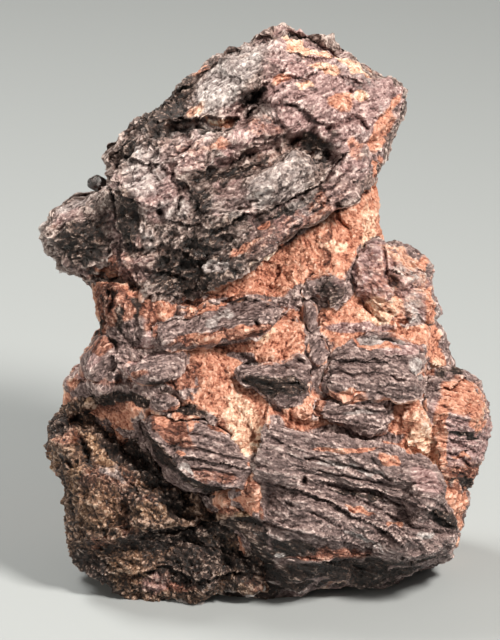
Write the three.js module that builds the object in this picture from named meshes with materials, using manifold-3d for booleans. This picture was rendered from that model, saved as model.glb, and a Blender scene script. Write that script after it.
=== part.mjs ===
// Cyrtolite in feldspar: a hand-sized broken specimen. Blades and lumps of dark cyrtolite sit in
// orange feldspar, and one large mass of cyrtolite leans over the top of it.
// Millimetres. A form is drawn upright as it is seen from the front: x to the right, v up and
// d away from the eye. The whole group then leans back onto its broken base.
import * as THREE from 'three';
import { mergeVertices } from 'three/addons/utils/BufferGeometryUtils.js';
import Module from 'manifold-3d';

// Driving dimensions
const LEAN = THREE.MathUtils.degToRad(20);
const FRONT_EDGE_OF_BASE = 12;
const GAP = 0.3;
const BEAD_RADIUS = 1.35;
const CHIP_SIZE = 11;
const CHIP_TILT = 0.6;
const CHIP_STEP = 2;
const CHIP_EDGE = 3.6;
const STEEPEST = 0.3;
const BLOCK = 200;
const UP = new THREE.Vector3(0, 0, 1);

const wasm = await Module();
wasm.setup();

// A repeatable number from 0 to 1 for three whole numbers and a seed
function scatter(i, j, k, seed) {
  let h = Math.imul(i, 374761393) ^ Math.imul(j, 668265263) ^ Math.imul(k, 1274126177);
  h = Math.imul(h ^ Math.imul(seed, 974634777), 1597334677);
  h = Math.imul(h ^ (h >>> 15), 2246822519);
  return ((h ^ (h >>> 13)) >>> 0) / 4294967296;
}

// Height of a broken surface at a point: every cell is one chip, flat, tilted its own way
function chip(point, seed) {
  const home = point.clone().divideScalar(CHIP_SIZE).floor();
  let height = 0;
  let total = 0;
  for (let n = 0; n < 27; n++) {
    const i = home.x + (n % 3) - 1;
    const j = home.y + (Math.floor(n / 3) % 3) - 1;
    const k = home.z + Math.floor(n / 9) - 1;
    const spread = (s) => scatter(i, j, k, seed + s);
    const seat = new THREE.Vector3(i + spread(1), j + spread(2), k + spread(3));
    const reach = point.clone().sub(seat.multiplyScalar(CHIP_SIZE));
    const tilt = new THREE.Vector3(spread(4) - 0.5, spread(5) - 0.5, spread(6) - 0.5);
    const weight = Math.exp(-reach.lengthSq() / (CHIP_EDGE * CHIP_EDGE));
    height += weight * (reach.dot(tilt) * CHIP_TILT + (spread(7) - 0.5) * CHIP_STEP);
    total += weight;
  }
  return height / Math.max(total, 1e-9);
}

// Distance from a centre to its outline along an angle, the outline moved outward by a little
function reachOf(outline, centre, angle, grow) {
  const along = new THREE.Vector2(Math.cos(angle), Math.sin(angle));
  let reach = 0;
  let grown = 0;
  outline.forEach((point, index) => {
    const next = outline[(index + 1) % outline.length];
    const start = new THREE.Vector2(point[0] - centre[0], point[1] - centre[1]);
    const side = new THREE.Vector2(next[0] - point[0], next[1] - point[1]);
    const across = along.cross(side);
    const share = start.cross(along) / across;
    const distance = start.cross(side) / across;
    if (share >= -1e-9 && share <= 1 + 1e-9 && distance > reach) {
      reach = distance;
      grown = reach + grow / Math.max(STEEPEST, Math.abs(across) / side.length());
    }
  });
  return [reach, grown];
}

// How strongly a line such as a ledge or a crevice is felt at a point, from 0 to 1
function nearLine(line, x, v) {
  let nearest = Infinity;
  for (let n = 0; n + 1 < line.path.length; n++) {
    const start = new THREE.Vector2(...line.path[n]);
    const side = new THREE.Vector2(...line.path[n + 1]).sub(start);
    const reach = new THREE.Vector2(x, v).sub(start);
    const share = THREE.MathUtils.clamp(reach.dot(side) / side.lengthSq(), 0, 1);
    nearest = Math.min(nearest, reach.addScaledVector(side, -share).length());
  }
  return 1 - THREE.MathUtils.smoothstep(nearest, 0, line.width);
}

// A plane of depth over the front view: its depth at the centre, and its slopes in x and v
function depthAt(plane, x, v) {
  return plane[0] + (plane[1] ?? 0) * x + (plane[2] ?? 0) * v;
}

// A lump: a ball drawn out to an outline in the front view, between a front and a back depth.
// Its rim follows the outline at the rim depth. fullness 2 is round, and 4 is nearly a block.
// Grown a little, it is the seat that the lump leaves in what grew round it.
function lump(form, grow) {
  const { outline, centre, front, rim, back, fullness = 3, detail = 4 } = form;
  const { rough = 1, seed = 1, lines = [] } = form;
  const ball = new THREE.IcosahedronGeometry(1, detail);
  ball.deleteAttribute('normal');
  ball.deleteAttribute('uv');
  const geometry = mergeVertices(ball, 1e-5);
  const place = geometry.attributes.position;
  const point = new THREE.Vector3();
  for (let n = 0; n < place.count; n++) {
    point.fromBufferAttribute(place, n);
    const angle = Math.atan2(point.z, point.x);
    const flat = Math.hypot(point.x, point.z);
    const deep = Math.abs(point.y);
    const size = Math.pow(Math.pow(flat, fullness) + Math.pow(deep, fullness), 1 / fullness);
    const facing = deep / size;
    const side = Math.sign(point.y);
    const [reach, grown] = reachOf(outline, centre, angle, grow);
    const x = (Math.cos(angle) * reach * flat) / size;
    const v = (Math.sin(angle) * reach * flat) / size;
    const rimDepth = depthAt(rim, x, v);
    const endDepth = depthAt(side < 0 ? front : back, x, v);
    const at = new THREE.Vector3(centre[0] + x, rimDepth, centre[1] + v);
    at.y += (endDepth - rimDepth) * facing;
    let raised = rough * chip(at, seed) + grow;
    if (side < 0) {
      lines.forEach((line) => {
        raised += line.height * nearLine(line, at.x, at.z);
      });
    }
    const wider = grown / reach;
    place.setXYZ(n, centre[0] + x * wider, at.y + side * facing * raised, centre[1] + v * wider);
  }
  return geometry;
}

function solid(geometry) {
  const bare = geometry.clone();
  bare.deleteAttribute('normal');
  bare.deleteAttribute('uv');
  const closed = mergeVertices(bare, 1e-5);
  const mesh = new wasm.Mesh({
    numProp: 3,
    vertProperties: new Float32Array(closed.attributes.position.array),
    triVerts: new Uint32Array(closed.index.array),
  });
  mesh.merge();
  return new wasm.Manifold(mesh);
}

// The ground under the leaning stone, which wears its base flat
function ground() {
  const block = new THREE.BoxGeometry(BLOCK, BLOCK, BLOCK);
  block.translate(0, 0, -BLOCK / 2);
  block.rotateX(LEAN);
  block.translate(0, FRONT_EDGE_OF_BASE, 0);
  return solid(block);
}

// Everything on the near side of a flat contact, which passes through a point and faces away
function within(contact, grow) {
  const facing = new THREE.Vector3(...contact.facing).normalize();
  const block = new THREE.BoxGeometry(BLOCK, BLOCK, BLOCK);
  block.translate(0, 0, grow - BLOCK / 2);
  block.applyQuaternion(new THREE.Quaternion().setFromUnitVectors(UP, facing));
  block.translate(...contact.at);
  return solid(block);
}

// Forms that grew into each other, joined in one solid, cut where they grew against the rest.
// The seat is what they leave in the rest: the cut itself, where one is given for all sides.
function grownTogether(forms, contacts = [], seatFollowsForms = true) {
  const cut = (grow) => contacts.map((contact) => within(contact, grow));
  const join = (grow) => forms.map((form) => solid(lump(form, grow))).reduce((a, b) => a.add(b));
  const body = cut(0).reduce((left, block) => left.intersect(block), join(0));
  const seats = seatFollowsForms ? [join(GAP), ...cut(GAP)] : cut(GAP);
  return { body, seat: seats.reduce((left, block) => left.intersect(block)) };
}

// The great mass at the top: the cap, the horn at the left, the keel and the lens on its front
function upperMass() {
  const body = {
    centre: [-2, 66],
    outline: [
      [0.2, 88.1], [8.3, 87], [11.8, 84.3], [16, 82], [21, 79.8], [21.8, 77], [18.5, 70.5],
      [17, 67], [16.8, 62], [10, 57], [0, 49], [-12, 42], [-20, 46], [-23, 54], [-24.5, 61],
      [-24.2, 66], [-23.5, 69], [-19, 74], [-14, 77.2], [-10.5, 82], [-5.8, 84.8],
    ],
    front: [6.5, 0.09, 0.1],
    rim: [17, 0.1, 0.05],
    back: [31, -0.05, -0.12],
    fullness: 2.7,
    detail: 7,
    rough: 1.5,
    seed: 11,
    lines: [
      { path: [[-14, 72.5], [-7, 72.8], [-2.5, 75.5], [0.5, 79]], width: 2.6, height: -2 },
      { path: [[-10, 66], [-4, 67.8], [3, 70.3], [8, 71.5]], width: 2.4, height: -2 },
      { path: [[5.5, 71], [9, 68.5]], width: 3.4, height: -3 },
      { path: [[-8, 77.5], [-3, 79.5], [2, 84]], width: 5, height: 1.3 },
      { path: [[6, 79], [17, 79]], width: 5.5, height: 1.2 },
      { path: [[-22, 52], [-22.5, 62]], width: 3, height: -2 },
    ],
  };
  const horn = {
    centre: [-26, 57],
    outline: [
      [-33.8, 57.3], [-32.2, 53.6], [-29.3, 51], [-25.5, 49.6], [-20, 50], [-16, 56], [-18, 62],
      [-24, 64], [-27.5, 62.8], [-32, 60.2],
    ],
    front: [11.5, 0.1, -0.25],
    rim: [19],
    back: [28],
    fullness: 2.6,
    detail: 4,
    rough: 0.7,
    seed: 12,
  };
  const keel = {
    centre: [1, 58],
    outline: [
      [17.2, 65.5], [15, 61], [8, 56], [0, 50], [-9, 44], [-10, 48], [-8.5, 53], [-4, 59.5],
      [2, 63.5], [8, 67], [13, 69], [16.5, 68.5],
    ],
    front: [4.4, 0.05, 0.05],
    rim: [10, 0.1, 0],
    back: [18, 0.1, 0],
    fullness: 3,
    detail: 4,
    rough: 0.6,
    seed: 13,
  };
  const lens = {
    centre: [1.5, 64.5],
    outline: [[-6, 60.5], [-3.5, 64], [0, 67], [4, 69], [7, 68], [9, 65.5], [4, 62.5], [-2, 59.5]],
    front: [3.4, 0.05, 0.1],
    rim: [8],
    back: [14],
    fullness: 2.5,
    detail: 3,
    rough: 0.4,
    seed: 14,
  };
  const underKeel = { at: [3, 8, 55.7], facing: [0.54, 0.1, -0.84] };
  const underHorn = { at: [-13, 12, 45.5], facing: [-0.3, 0.05, -0.95] };
  return grownTogether([body, horn, keel, lens], [underKeel, underHorn], false);
}

// The striated bundle at the lower right, undercut towards its foot
function lowerBundle() {
  const bundle = {
    centre: [14, 15],
    outline: [
      [-6, 28], [6, 31], [16, 31], [25, 29], [31, 23], [31, 16], [29.4, 12], [29.2, 10],
      [27.5, 7.8], [24, 6], [18, 3.8], [12, 3.7], [8, 2.8], [4.6, 1], [0, 0], [-6, 3], [-6, 15],
    ],
    front: [3.2, 0.12, -0.2],
    rim: [17, 0.15, -0.45],
    back: [34, -0.1, 0],
    fullness: 3,
    detail: 6,
    rough: 1.2,
    seed: 21,
    lines: [
      { path: [[8, 19.4], [13, 18.6], [18, 17.6], [21, 15.5]], width: 2.2, height: -1.2 },
      { path: [[12, 17], [18, 14.3], [26, 11.5]], width: 2.4, height: -1 },
      { path: [[3, 8], [12, 7.5], [20, 6]], width: 4, height: -3 },
    ],
  };
  const top = { at: [12, 6, 25.2], facing: [0.17, 0.4, 0.98] };
  const left = { at: [-0.3, 10, 15], facing: [-1, 0.15, 0.12] };
  const right = { at: [25.5, 8, 19.5], facing: [0.82, 0.25, 0.55] };
  return grownTogether([bundle], [top, left, right], false);
}

// The striated slab in front at the left, over the cave
function leftSlab() {
  const slab = {
    centre: [-8.5, 23],
    outline: [
      [-19.5, 29], [-17, 30.5], [-12, 29.4], [-9, 29.7], [-6, 27.7], [-3, 24.3], [-0.5, 21.8],
      [-0.8, 19], [-4, 18.2], [-8, 17.2], [-12, 17.5], [-14.5, 20.5], [-17, 25],
    ],
    front: [4.6, 0.02, 0.08],
    rim: [9.5, -0.2, 0.1],
    back: [15],
    fullness: 3.4,
    detail: 3,
    rough: 0.6,
    seed: 31,
  };
  return grownTogether([slab], [flatBack(13)]);
}

// The dark mass that makes the lower left of the stone
function leftFlank() {
  const flank = {
    centre: [-18, 16],
    outline: [
      [-33.8, 25.8], [-31.6, 29.3], [-29, 33.5], [-25, 38], [-12, 34], [2, 26], [7, 14], [5, 3],
      [-0.5, 2.4], [-4, 2], [-8, 1.6], [-10.5, -0.2], [-13, 0.9], [-18, 0.7], [-21.3, 1.4],
      [-24.7, 4.5], [-28, 7], [-29.4, 8.5], [-29.3, 12], [-30, 19], [-32, 23],
    ],
    front: [10, -0.1, 0.05],
    rim: [17, -0.25, 0.2],
    back: [37, 0.1, -0.2],
    fullness: 2.9,
    detail: 6,
    rough: 1.3,
    seed: 41,
    lines: [
      { path: [[-25, 28], [-20, 23.5], [-14, 18.5], [-9, 15.5]], width: 4, height: -3.5 },
      { path: [[-27, 17], [-20, 14], [-14, 12.5]], width: 5, height: 1.6 },
      { path: [[-13, 10.5], [-7, 9.5], [-2, 9]], width: 4.5, height: -3 },
      { path: [[-22, 5], [-15, 4], [-9, 3]], width: 3, height: 1 },
    ],
  };
  const inner = { at: [-16, 12, 23.5], facing: [0.6, 0.45, 0.62] };
  return grownTogether([flank], [inner], false);
}

// The fan of cyrtolite that stands out at the right
function rightFan() {
  const fan = {
    centre: [28, 27.5],
    outline: [
      [23.5, 36], [28.6, 36.1], [31, 35], [32.8, 32.5], [33.8, 27.7], [33.2, 24.5], [31.5, 20],
      [29.2, 18], [26, 17.8], [24, 20], [22, 29],
    ],
    front: [8.8, 0.3, -0.15],
    rim: [17, -0.1, 0],
    back: [29, -0.3, 0],
    fullness: 2.8,
    detail: 4,
    rough: 0.7,
    seed: 51,
  };
  const inner = { at: [26.3, 13, 27], facing: [-1, 0.3, -0.27] };
  const top = { at: [28, 15, 36.4], facing: [0, 0, 1] };
  const foot = { at: [28, 15, 17.8], facing: [0, 0, -1] };
  return grownTogether([fan], [inner, top, foot], false);
}

// The knot of crystals at the right of the neck
function rightKnot() {
  const knot = {
    centre: [20, 49],
    outline: [
      [13.2, 50], [13.4, 53.4], [16.3, 56], [20, 54.7], [24.7, 53], [24.9, 50.5], [26, 47],
      [26.3, 45.5], [24.8, 43.6], [21, 42.6], [16.5, 44], [14.2, 46.5],
    ],
    front: [8.6, 0.2, -0.05],
    rim: [15, -0.1, 0],
    back: [24, -0.2, 0],
    fullness: 3,
    detail: 3,
    seed: 61,
  };
  return grownTogether([knot], [flatBack(21)]);
}

// A flat contact at a depth, across the view
function flatBack(depth) {
  return { at: [0, depth, 0], facing: [0, 1, 0] };
}

// A blade or a small crystal in the face of the feldspar, with a flat back in its seat
function blade(outline, centre, front, thick, seed, detail) {
  const form = {
    centre,
    outline,
    front,
    rim: [front[0] + thick * 0.6, front[1] ?? 0, front[2] ?? 0],
    back: [front[0] + thick * 1.4, front[1] ?? 0, front[2] ?? 0],
    fullness: 3.2,
    rough: 0.5,
    detail,
    seed,
  };
  return grownTogether([form], [flatBack(front[0] + thick)]);
}

const BLADES = {
  upper_left_blade: blade(
    [[-18, 42], [-16.5, 43.7], [-10, 44.3], [-9, 45.6], [-4, 46.6], [4.6, 46.3], [0.8, 43.9],
      [-1.5, 41.9], [-7, 40.6], [-12, 40], [-16, 40.3]],
    [-7.5, 43], [5.2, -0.03, 0.25], 5.5, 71, 3),
  lower_left_blade: blade(
    [[-21.2, 37.3], [-18, 38.5], [-15, 39.5], [-12.2, 38.8], [-11.6, 37.4], [-14, 35.6], [-18, 34.6],
      [-20.6, 35.4]],
    [-16.3, 37], [5.8, -0.1, 0.2], 5.5, 72, 2),
  left_edge_crystal: blade(
    [[-28.4, 35.4], [-26, 40], [-24.4, 41.6], [-22.8, 39.5], [-22, 37], [-23.4, 35], [-26, 34.9]],
    [-25, 37.6], [10, -0.35, 0.1], 9, 73, 2),
  centre_blade: blade(
    [[-5, 36.8], [0, 37.2], [2, 36.5], [4, 37.6], [5.9, 38.2], [6.9, 35.7], [5.7, 32], [2.2, 31],
      [0, 33], [-3.8, 34.6]],
    [1.3, 34.8], [3.9, 0.05, 0.3], 6, 74, 3),
  right_blade: blade(
    [[8.8, 34], [9.6, 37], [13.5, 39.8], [16, 41], [20, 41], [23, 39], [24.2, 36], [23.8, 33.4],
      [21.8, 32], [17, 33], [12, 32.8]],
    [16.4, 36.4], [3.8, 0.18, 0.28], 7, 75, 3),
  lower_blade: blade(
    [[6.8, 30.8], [8, 32], [13, 31.9], [17, 31.8], [19.2, 30.3], [17, 27], [12, 28.4], [8, 29]],
    [12.8, 30], [5, 0.1, 0.1], 5, 76, 2),
  upright_crystal: blade(
    [[6.4, 40.3], [7.4, 41.3], [8.6, 40.9], [9.5, 38], [8.9, 37.2], [7.4, 36.6], [6.6, 38.4]],
    [7.8, 39], [5.5, 0.1, 0.1], 4.5, 77, 1),
  drop_crystal: blade(
    [[5.3, 46], [7.4, 45.6], [8, 43.6], [7.2, 42], [6, 42.3], [5.3, 44.4]],
    [6.6, 44], [7.4, 0, 0.1], 4, 78, 1),
  neck_crystal: blade(
    [[4.2, 47.6], [8.4, 50.1], [10.2, 50.4], [12.2, 48], [12.4, 46.6], [10.4, 45.7], [8.3, 46.9],
      [4.6, 46.9]],
    [9.3, 48], [8, 0.05, 0.15], 4.5, 79, 1),
  small_knob: blade(
    [[-17, 32.2], [-15.4, 33.3], [-13, 33], [-12.6, 31.4], [-14, 30.9], [-16.4, 31.2]],
    [-14.8, 32.1], [6.4, -0.1, 0.1], 4, 80, 1),
};

// The small dark crystal, like a bead, on the shoulder over the horn
function beadCrystal() {
  const grain = (grow) => {
    const bead = new THREE.DodecahedronGeometry(BEAD_RADIUS + grow, 0);
    bead.scale(1, 0.95, 0.85);
    bead.translate(-25.6, 17.5, 64.6);
    return solid(bead);
  };
  return { body: grain(0), seat: grain(GAP) };
}

// The feldspar: the neck under the great mass, and the body that holds all the rest
function feldspar() {
  const neck = {
    centre: [-3, 50],
    outline: [
      [-25, 42.5], [-25, 46], [-26.3, 50], [-27, 58], [-14, 70], [6, 74], [14, 73], [16.5, 66],
      [17.2, 60], [16.4, 56], [20, 50], [20, 42], [8, 36], [-14, 36], [-23, 40],
    ],
    front: [9.4, 0.05, 0.1],
    rim: [18],
    back: [35, 0, -0.1],
    fullness: 3.2,
    detail: 4,
    rough: 1.4,
    seed: 91,
  };
  const body = {
    centre: [1, 27],
    outline: [
      [-27.2, 38.2], [-25.2, 42.2], [-16, 46], [0, 49], [14, 48.5], [24, 45.5], [26, 42], [26.6, 37.5],
      [30, 34], [33, 28], [31, 20], [29.6, 15], [29, 9], [18, 4], [8, 2], [-6, 2], [-22, 6],
      [-29, 16], [-31, 27], [-29, 35],
    ],
    front: [6.4, 0.06, 0.03],
    rim: [21, -0.1, -0.15],
    back: [42, -0.05, -0.22],
    fullness: 3,
    detail: 6,
    rough: 1.8,
    seed: 92,
    lines: [
      { path: [[-6, 35], [-4, 28], [-1.5, 24]], width: 5, height: 1.2 },
      { path: [[20, 31], [25.5, 24], [28, 17]], width: 3.5, height: 1.2 },
      { path: [[-7, 16.5], [-1, 16.5]], width: 3, height: 2 },
    ],
  };
  return grownTogether([neck, body]);
}

const LOOKS = {
  cyrtolite: { color: 0x4a3b3b, roughness: 0.55, metalness: 0 },
  grey_cyrtolite: { color: 0x6b5a58, roughness: 0.5, metalness: 0 },
  dark_cyrtolite: { color: 0x33261f, roughness: 0.6, metalness: 0 },
  feldspar: { color: 0xb8694a, roughness: 0.7, metalness: 0 },
  bead: { color: 0x2a1512, roughness: 0.2, metalness: 0 },
};

function named(name, body, look) {
  const cut = body.getMesh();
  const geometry = new THREE.BufferGeometry();
  geometry.setAttribute('position', new THREE.BufferAttribute(cut.vertProperties, 3));
  geometry.setIndex(new THREE.BufferAttribute(cut.triVerts, 1));
  geometry.computeVertexNormals();
  const mesh = new THREE.Mesh(geometry, new THREE.MeshStandardMaterial(LOOKS[look]));
  mesh.name = name;
  return mesh;
}

// In the order in which they grew: each piece is cut by the seats of those before it
const PIECES = [
  ['bead_crystal', beadCrystal(), 'bead'],
  ['upper_mass', upperMass(), 'grey_cyrtolite'],
  ['lower_bundle', lowerBundle(), 'cyrtolite'],
  ['left_slab', leftSlab(), 'cyrtolite'],
  ['left_flank', leftFlank(), 'dark_cyrtolite'],
  ['right_fan', rightFan(), 'cyrtolite'],
  ['right_knot', rightKnot(), 'cyrtolite'],
  ...Object.entries(BLADES).map(([name, piece]) => [name, piece, 'cyrtolite']),
  ['feldspar_matrix', feldspar(), 'feldspar'],
];

const stone = new THREE.Group();
const floor = ground();
const seats = [];
PIECES.forEach(([name, piece, look]) => {
  const body = seats.reduce((left, seat) => left.subtract(seat), piece.body).subtract(floor);
  const largest = body.decompose().sort((a, b) => b.volume() - a.volume())[0];
  stone.add(named(name, largest, look));
  seats.push(piece.seat);
});
stone.rotation.x = -LEAN;
stone.updateMatrixWorld(true);

// The origin is under the middle of the stone, on the ground
const extent = new THREE.Box3().setFromObject(stone, true);
const middle = extent.getCenter(new THREE.Vector3());
stone.position.set(-middle.x, -middle.y, Math.sin(LEAN) * FRONT_EDGE_OF_BASE);

const cyrtoliteSpecimen = new THREE.Group();
cyrtoliteSpecimen.add(stone);
export default cyrtoliteSpecimen;
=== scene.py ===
"""The looks of a cyrtolite specimen: dark striated cyrtolite grown in orange, iron-stained feldspar.

Each piece of the CAD frame is copied, cut into a fine mesh and broken along the grain of its mineral.
Sizes are in millimetres on the specimen's leaning face: x to the right, v up the face, d away from
the viewer. The finished meshes are in metres in the row frame.
"""

import math

import bmesh
import bpy
import numpy as np
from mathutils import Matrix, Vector
from mathutils.bvhtree import BVHTree


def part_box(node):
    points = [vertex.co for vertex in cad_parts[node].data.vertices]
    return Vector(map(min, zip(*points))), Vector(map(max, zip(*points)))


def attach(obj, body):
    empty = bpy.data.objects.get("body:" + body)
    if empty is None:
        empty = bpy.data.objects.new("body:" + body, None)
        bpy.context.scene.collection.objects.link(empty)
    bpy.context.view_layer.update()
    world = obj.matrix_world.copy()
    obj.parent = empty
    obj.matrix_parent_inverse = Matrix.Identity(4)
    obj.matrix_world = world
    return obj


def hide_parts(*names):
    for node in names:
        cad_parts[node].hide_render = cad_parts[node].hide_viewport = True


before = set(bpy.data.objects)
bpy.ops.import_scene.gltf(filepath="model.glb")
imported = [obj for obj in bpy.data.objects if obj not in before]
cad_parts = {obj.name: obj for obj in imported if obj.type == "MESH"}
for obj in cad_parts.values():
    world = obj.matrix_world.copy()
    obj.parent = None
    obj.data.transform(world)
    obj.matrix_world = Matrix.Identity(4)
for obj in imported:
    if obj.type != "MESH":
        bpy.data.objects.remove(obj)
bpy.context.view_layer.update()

MM = 0.001
LEAN = math.radians(20)
BEAD_CENTRE = (-25.6, 64.6, 17.5)
GAP = 0.3
FLAT_FOOT = 0.0

# How close the points of each piece's mesh are
SPACING = {
    "upper_mass": 0.285,
    "feldspar_matrix": 0.4,
    "left_flank": 0.27,
    "lower_bundle": 0.24,
    "left_slab": 0.22,
    "right_fan": 0.22,
    "right_knot": 0.22,
}
FINE_SPACING = 0.19


def lean_back(points):
    """Points of the face, in mm, turned to the axes of the row frame, in mm."""
    x, v, d = points[:, 0], points[:, 1], points[:, 2]
    y = d * math.cos(LEAN) + v * math.sin(LEAN)
    z = v * math.cos(LEAN) - d * math.sin(LEAN)
    return np.column_stack([x, y, z])


def middle(node):
    """The middle of a CAD piece's box, in mm."""
    low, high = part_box(node)
    return np.array((low + high) / 2) / MM


STONE_PLACE = middle("bead_crystal") - lean_back(np.array([BEAD_CENTRE]))[0]


def to_row(points):
    """Points of the face, in mm, as points of the row frame, in metres."""
    return (lean_back(points) + STONE_PLACE) * MM


def to_face(points):
    """Points of the row frame, in metres, as points of the face, in mm."""
    p = points / MM - STONE_PLACE
    v = p[:, 1] * math.sin(LEAN) + p[:, 2] * math.cos(LEAN)
    d = p[:, 1] * math.cos(LEAN) - p[:, 2] * math.sin(LEAN)
    return np.column_stack([p[:, 0], v, d])


def step(low, high, values):
    """0 below low, 1 above high and a smooth rise between them."""
    t = np.clip((values - low) / (high - low), 0, 1)
    return t * t * (3 - 2 * t)


def hashed(cells, seed):
    """A number from 0 to 1 for each cell of a grid, the same at every run."""
    c = cells.astype(np.int64).astype(np.uint32)
    h = c[:, 0] * np.uint32(73856093) ^ c[:, 1] * np.uint32(19349663) ^ c[:, 2] * np.uint32(83492791)
    h = h ^ np.uint32((seed * 2654435761) % 4294967296)
    h = (h ^ (h >> np.uint32(15))) * np.uint32(2246822519)
    h = (h ^ (h >> np.uint32(13))) * np.uint32(3266489917)
    h = h ^ (h >> np.uint32(16))
    return h.astype(np.float64) / 4294967296


def noise(points, size, seed):
    """Smooth noise from -1 to 1 with lumps about size across; size may differ by axis."""
    p = points / np.asarray(size, float)
    cell = np.floor(p)
    t = p - cell
    t = t * t * (3 - 2 * t)
    total = np.zeros(len(p))
    for corner in np.ndindex(2, 2, 2):
        share = np.prod(np.where(corner, t, 1 - t), axis=1)
        total += share * hashed(cell + corner, seed)
    return 2 * total - 1


def cloudy(points, size, seed, levels=3):
    """Noise of several sizes, each half as large and half as strong as the one before."""
    size = np.asarray(size, float)
    total = np.zeros(len(points))
    for level in range(levels):
        total += noise(points, size / 2**level, seed + level) / 2**level
    return total / (2 - 0.5 ** (levels - 1))


def chips(points, size, seed, tilt=0.8):
    """Surface broken into flat chips: their height from -1 to 1, and how near a chip's edge is, 0 to 1."""
    p = points / np.asarray(size, float)
    cell = np.floor(p)
    nearest = np.full(len(p), 9.0)
    second = np.full(len(p), 9.0)
    height = np.zeros(len(p))
    for offset in np.ndindex(3, 3, 3):
        there = cell + offset - 1
        away = np.column_stack([hashed(there, seed + k) for k in range(3)]) + there - p
        distance = np.linalg.norm(away, axis=1)
        closer = distance < nearest
        second = np.where(closer, nearest, np.minimum(second, distance))
        nearest = np.where(closer, distance, nearest)
        slope = (away * (np.column_stack([hashed(there, seed + k) for k in (4, 5, 6)]) - 0.5)).sum(axis=1)
        height = np.where(closer, 2 * hashed(there, seed + 3) - 1 + 2 * tilt * slope, height)
    return height, 1 - np.clip((second - nearest) / 0.35, 0, 1)


def facets(points, size, seed, tilt):
    """Tilted hollow facets that meet in sharp ridges, as glassy minerals break: their height, about -1 to 1."""
    p = points / np.asarray(size, float)
    cell = np.floor(p)
    height = np.full(len(p), 9.0)
    for offset in np.ndindex(3, 3, 3):
        there = cell + offset - 1
        away = np.column_stack([hashed(there, seed + k) for k in range(3)]) + there - p
        lean = np.column_stack([hashed(there, seed + k) for k in (4, 5, 6)]) - 0.5
        plane = hashed(there, seed + 3) - 0.5 + tilt * (away * lean).sum(axis=1) + 1.3 * (away**2).sum(axis=1)
        height = np.minimum(height, plane)
    return 1.5 * height - 0.3


def striae(grain, width, length, seed):
    """Uneven ribs along the grain: each rises slowly across the grain and drops sharply."""
    through = grain[:, 2] / width
    through = through + 0.45 * noise(grain, (length, length, 2.5 * width), seed)
    layer = np.floor(through)
    part = through - layer
    strength = hashed(np.column_stack([layer, np.floor(grain[:, 0] / length), layer * 0]), seed + 1)
    fade = noise(np.column_stack([grain[:, 0], grain[:, 1], layer * length]), length, seed + 2)
    return (part**1.4 - 0.42) * (0.35 + 0.65 * strength) * (0.75 + 0.5 * fade)


def grain_axes(angle, dip):
    """Unit rows along, across and through the grain. angle turns it in the face, dip tips the layers."""
    a, t = math.radians(angle), math.radians(dip)
    along = np.array([math.cos(a), math.sin(a), 0])
    through = np.array([-math.sin(a) * math.cos(t), math.cos(a) * math.cos(t), math.sin(t)])
    return np.array([along, np.cross(through, along), through])


def to_segments(points, line):
    """How far each point of the face is from a line of points, and on which side: above is positive."""
    flat = points[:, :2]
    best = np.full(len(flat), 1e9)
    side = np.zeros(len(flat))
    line = np.asarray(line, float)
    if len(line) == 1:
        return np.linalg.norm(flat - line[0], axis=1), side
    for start, end in zip(line[:-1], line[1:]):
        run = end - start
        t = np.clip(((flat - start) @ run) / (run @ run), 0, 1)
        away = flat - start - t[:, None] * run
        distance = np.linalg.norm(away, axis=1)
        cross = run[0] * away[:, 1] - run[1] * away[:, 0]
        side = np.where(distance < best, np.sign(cross), side)
        best = np.minimum(best, distance)
    return best, side


class Skin:
    """The fine mesh of one piece while it is shaped, in the axes of the face."""

    def __init__(self, mesh):
        self.count = len(mesh.vertices)
        points = np.zeros(self.count * 3)
        mesh.vertices.foreach_get("co", points)
        self.points = points.reshape(-1, 3)
        edges = np.zeros(len(mesh.edges) * 2, np.int64)
        mesh.edges.foreach_get("vertices", edges)
        self.edges = edges.reshape(-1, 2)
        corners = np.zeros(len(mesh.loops), np.int64)
        mesh.loops.foreach_get("vertex_index", corners)
        self.faces = corners.reshape(-1, 4)
        self.degree = np.bincount(self.edges.ravel(), minlength=self.count).astype(float)
        self.degree[self.degree == 0] = 1

    def spread(self, values, times):
        """Values averaged with their neighbours over and over."""
        a, b = self.edges[:, 0], self.edges[:, 1]
        for _ in range(times):
            near = np.bincount(a, values[b], self.count) + np.bincount(b, values[a], self.count)
            values = 0.5 * values + 0.5 * near / self.degree
        return values

    def spread_all(self, columns, times):
        return np.column_stack([self.spread(columns[:, k], times) for k in range(3)])

    def outward(self):
        """The direction that faces out of the surface at each point."""
        p = self.points[self.faces]
        cross = np.cross(p[:, 2] - p[:, 0], p[:, 3] - p[:, 1])
        total = np.zeros((self.count, 3))
        for corner in range(4):
            for k in range(3):
                total[:, k] += np.bincount(self.faces[:, corner], cross[:, k], self.count)
        length = np.linalg.norm(total, axis=1)
        length[length == 0] = 1
        return total / length[:, None]


def surface_of(nodes):
    """The CAD surface of some pieces, in mm on the face, for measuring distances."""
    corners, faces = [], []
    for node in nodes:
        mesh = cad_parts[node].data
        first = len(corners)
        flat = np.zeros(len(mesh.vertices) * 3)
        mesh.vertices.foreach_get("co", flat)
        corners += to_face(flat.reshape(-1, 3)).tolist()
        faces += [[first + k for k in face.vertices] for face in mesh.polygons]
    return BVHTree.FromPolygons(corners, faces)


def distances(points, surface, farthest=4.0):
    """How far each point is from a surface, in mm."""
    found = [surface.find_nearest(point, farthest)[3] for point in points.tolist()]
    return np.array([farthest if distance is None else distance for distance in found])


def bent(points):
    """The outlines made uneven, by one bend that all the pieces share, so that they still fit."""
    shift = np.column_stack([noise(points, 8, 11 + k) for k in range(3)]) * 0.6
    shift += np.column_stack([noise(points, 2.8, 21 + k) for k in range(3)]) * 0.7
    return points + shift


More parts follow.
